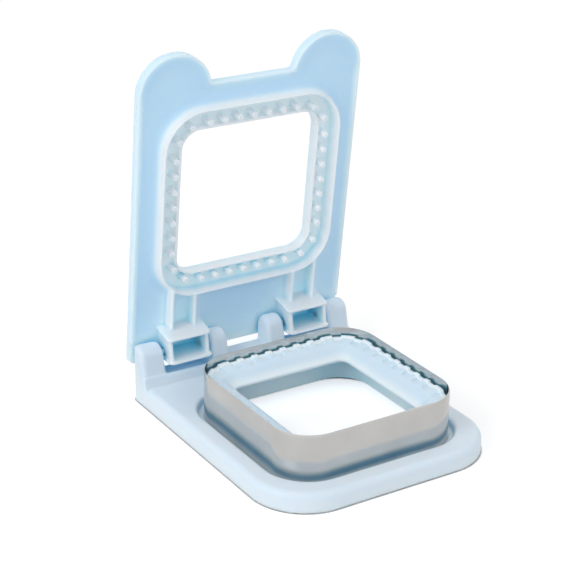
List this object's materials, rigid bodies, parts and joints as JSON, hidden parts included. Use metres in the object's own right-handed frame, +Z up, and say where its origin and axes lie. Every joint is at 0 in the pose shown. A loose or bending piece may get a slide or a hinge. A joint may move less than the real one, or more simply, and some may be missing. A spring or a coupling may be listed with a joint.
{
  "type": "sandwich cutter and sealer",
  "caption": "Hinged sandwich cutter and sealer: a plastic tray with a square steel cutting band round a crimping ring, under an eared lid with a window frame and sealing pegs.",
  "frame": {"origin": "on the standing face, straight below the middle of the hinge line, on the lower edge of the tray's middle rib", "axes": "+Z up, +X to the right as seen from the front, +Y to the back; the lid stands open against its stops"},
  "size_m": [0.1204, 0.1473, 0.1748],
  "materials": {
    "tray_plastic": "satin pale blue moulding",
    "ring_plastic": "satin pale blue moulding",
    "lid_plastic": "satin pale blue moulding",
    "band_steel": "polished stainless strip",
    "pin_plastic": "satin pale blue moulding"
  },
  "bodies": {
    "base": {"tray": "tray_plastic", "crimp_ring": "ring_plastic", "cutting_band": "band_steel", "hinge_pin_right_inner": "pin_plastic", "hinge_pin_right_outer": "pin_plastic", "hinge_pin_left_inner": "pin_plastic", "hinge_pin_left_outer": "pin_plastic"},
    "lid": {"lid": "lid_plastic"}
  },
  "joints": [
    {"name": "lid_hinge", "type": "hinge", "parent": "base", "child": "lid", "pos_m": [0, 0, 0.0233], "axis": [1, 0, 0], "range_deg": [0, 83.5]}
  ]
}
